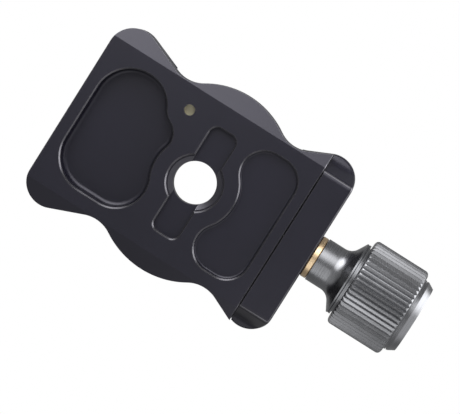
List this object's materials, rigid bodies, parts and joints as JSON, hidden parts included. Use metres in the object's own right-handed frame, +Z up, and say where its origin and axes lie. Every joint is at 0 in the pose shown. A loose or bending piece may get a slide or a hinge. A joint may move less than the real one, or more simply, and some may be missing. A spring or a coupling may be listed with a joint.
{
  "type": "quick release clamp",
  "caption": "Screw-knob camera clamp: a base with a fixed dovetail jaw, a sliding jaw drawn in by a fluted knob, a mounting hole with key slot, and a bubble level.",
  "frame": {"origin": "centre of the mounting hole on the flat underside", "axes": "+Z up from the underside towards the jaws, +X towards the knob, +Y along the plate channel"},
  "size_m": [0.084, 0.0422, 0.0199],
  "materials": {
    "black_anodised": "fine bead-blasted, black anodised",
    "grey_anodised": "turned, titanium-grey anodised",
    "brass": "turned",
    "ground_steel": "ground",
    "spring_wire": "drawn wire",
    "clear_acrylic": "polished",
    "level_fluid": "clear liquid"
  },
  "bodies": {
    "base": {"base_plate": "black_anodised", "level_body": "clear_acrylic", "level_window": "clear_acrylic", "level_fluid": "level_fluid", "return_spring_front": "spring_wire", "return_spring_rear": "spring_wire"},
    "jaw": {"moving_jaw": "black_anodised", "guide_pin_front": "ground_steel", "guide_pin_rear": "ground_steel", "thrust_washer": "brass"},
    "knob": {"knob": "grey_anodised", "knob_cap": "grey_anodised", "clamp_screw": "ground_steel"}
  },
  "joints": [
    {"name": "jaw_slide", "type": "slide", "parent": "base", "child": "jaw", "axis": [1, 0, 0], "range_m": [0, 0.0068], "deforming": ["return_spring_front", "return_spring_rear"]},
    {"name": "knob_turn", "type": "hinge", "parent": "jaw", "child": "knob", "pos_m": [0.0299, 0, 0.0055], "axis": [1, 0, 0], "range_deg": [0, 3060]}
  ],
  "couplings": [
    {"joint": "knob_turn", "follows": "jaw_slide", "rad_per_m": 7854}
  ]
}
